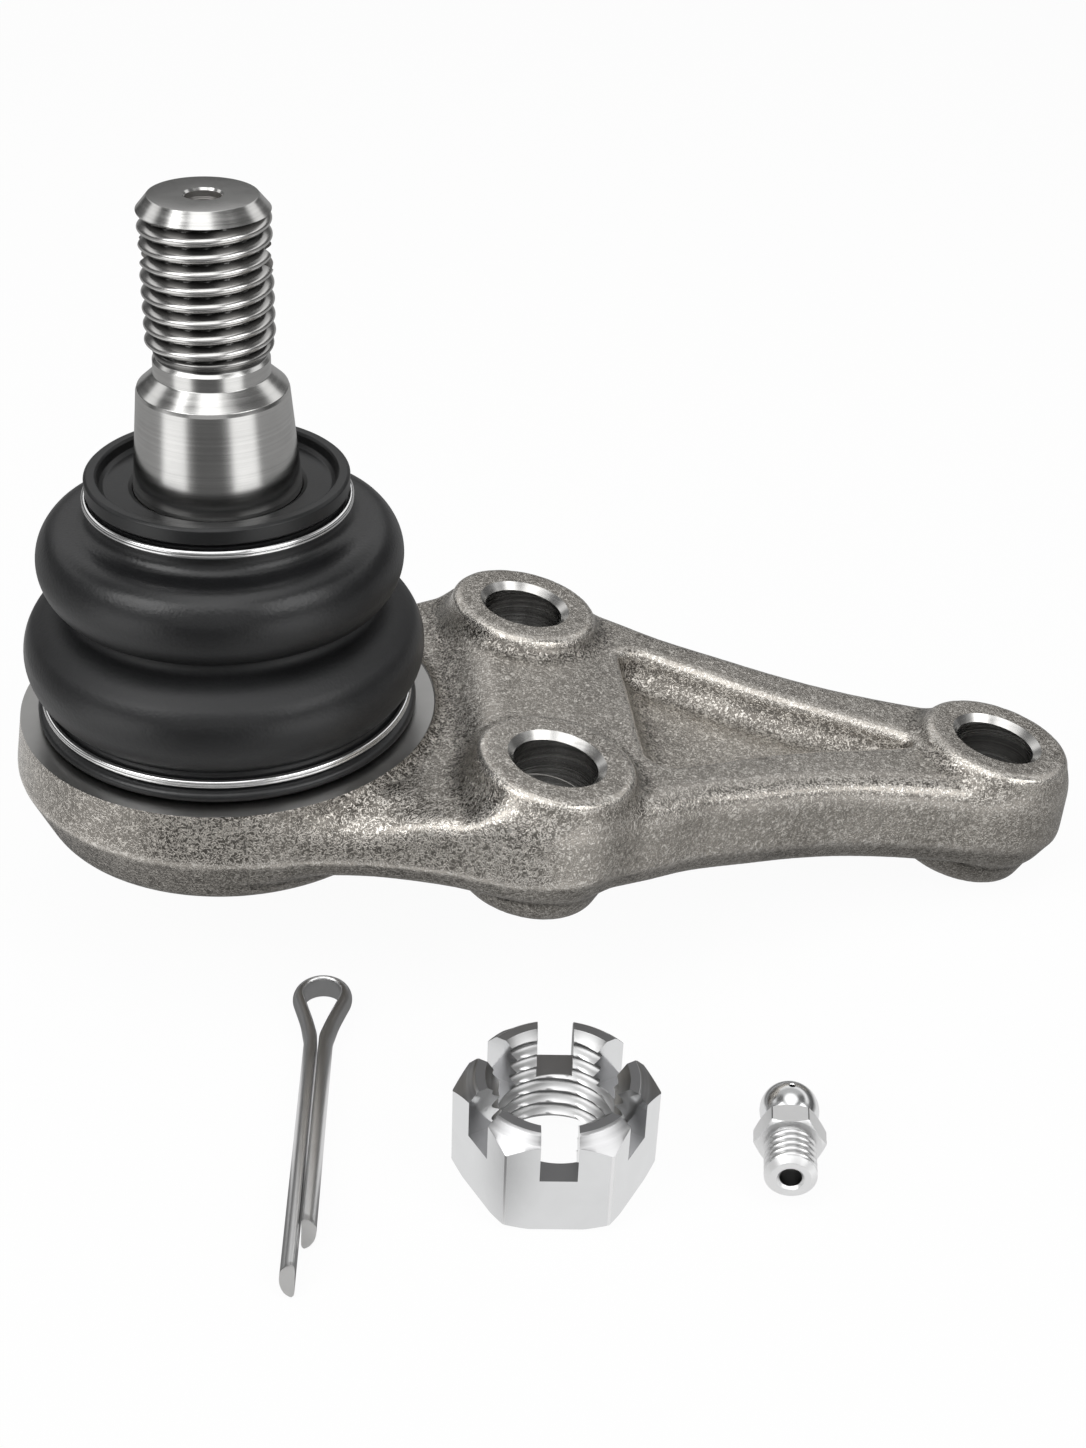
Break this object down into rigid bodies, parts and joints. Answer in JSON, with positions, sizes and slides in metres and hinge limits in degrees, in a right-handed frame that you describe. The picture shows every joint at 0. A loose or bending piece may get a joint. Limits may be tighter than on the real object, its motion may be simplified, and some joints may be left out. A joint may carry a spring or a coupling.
{
  "type": "suspension ball joint",
  "caption": "Lower ball joint: forged arm with bolt holes, tapered ball stud in a booted socket, and its castle nut, cotter pin and grease fitting lying loose.",
  "frame": {"origin": "centre of the stud's ball", "axes": "+Z along the stud towards its thread, +X from the ball towards the arm's single far bolt hole, +Y completes the right-handed frame; the arm's bolting plane falls 10.5 degrees towards +X"},
  "size_m": [0.1866, 0.1393, 0.126],
  "materials": {
    "forging": "as forged and blasted, matt warm grey",
    "stud_steel": "turned, satin",
    "bearing": "moulded",
    "spring_steel": "tempered",
    "plate_steel": "pressed, phosphated",
    "boot_rubber": "moulded, satin, fine pebble",
    "collar_black": "moulded, satin",
    "wire": "bright drawn wire",
    "zinc": "bright zinc plate",
    "pin_steel": "dull half-round wire"
  },
  "bodies": {
    "arm": {"forged_arm": "forging", "upper_seat": "bearing", "lower_seat": "bearing", "disc_spring": "spring_steel", "closing_plate": "plate_steel", "lower_clip": "wire"},
    "boot": {"dust_boot": "boot_rubber"},
    "collar": {"boot_collar": "collar_black", "upper_clip": "wire"},
    "stud": {"ball_stud": "stud_steel"},
    "nut": {"castle_nut": "zinc"},
    "pin": {"cotter_pin": "pin_steel"},
    "fitting": {"grease_fitting": "zinc", "check_spring": "spring_steel"},
    "valve": {"check_ball": "stud_steel"}
  },
  "joints": [
    {"name": "tilt_fore_aft", "type": "hinge", "parent": "arm", "child": "boot", "pos_m": [0, 0, 0], "axis": [0, 1, 0], "range_deg": [-18, 18], "deforming": ["dust_boot"]},
    {"name": "tilt_sideways", "type": "hinge", "parent": "boot", "child": "collar", "pos_m": [0, 0, 0], "axis": [1, 0, 0], "range_deg": [-18, 18], "deforming": ["dust_boot"]},
    {"name": "stud_spin", "type": "hinge", "parent": "collar", "child": "stud", "pos_m": [0, 0, 0], "axis": [0, 0, 1], "continuous": true},
    {"name": "nut_lift", "type": "slide", "parent": "arm", "child": "nut", "axis": [0, 0, 1], "range_m": [0, 0.1]},
    {"name": "pin_lift", "type": "slide", "parent": "arm", "child": "pin", "axis": [0, -0.6, 0.8], "range_m": [0, 0.1]},
    {"name": "fitting_lift", "type": "slide", "parent": "arm", "child": "fitting", "axis": [0, 0, 1], "range_m": [0, 0.1]},
    {"name": "valve_open", "type": "slide", "parent": "fitting", "child": "valve", "axis": [-0.2043, -0.9779, 0.0436], "range_m": [0, 0.0008], "stiffness_N_per_m": 200, "springref_m": -0.001, "deforming": ["check_spring"]}
  ]
}
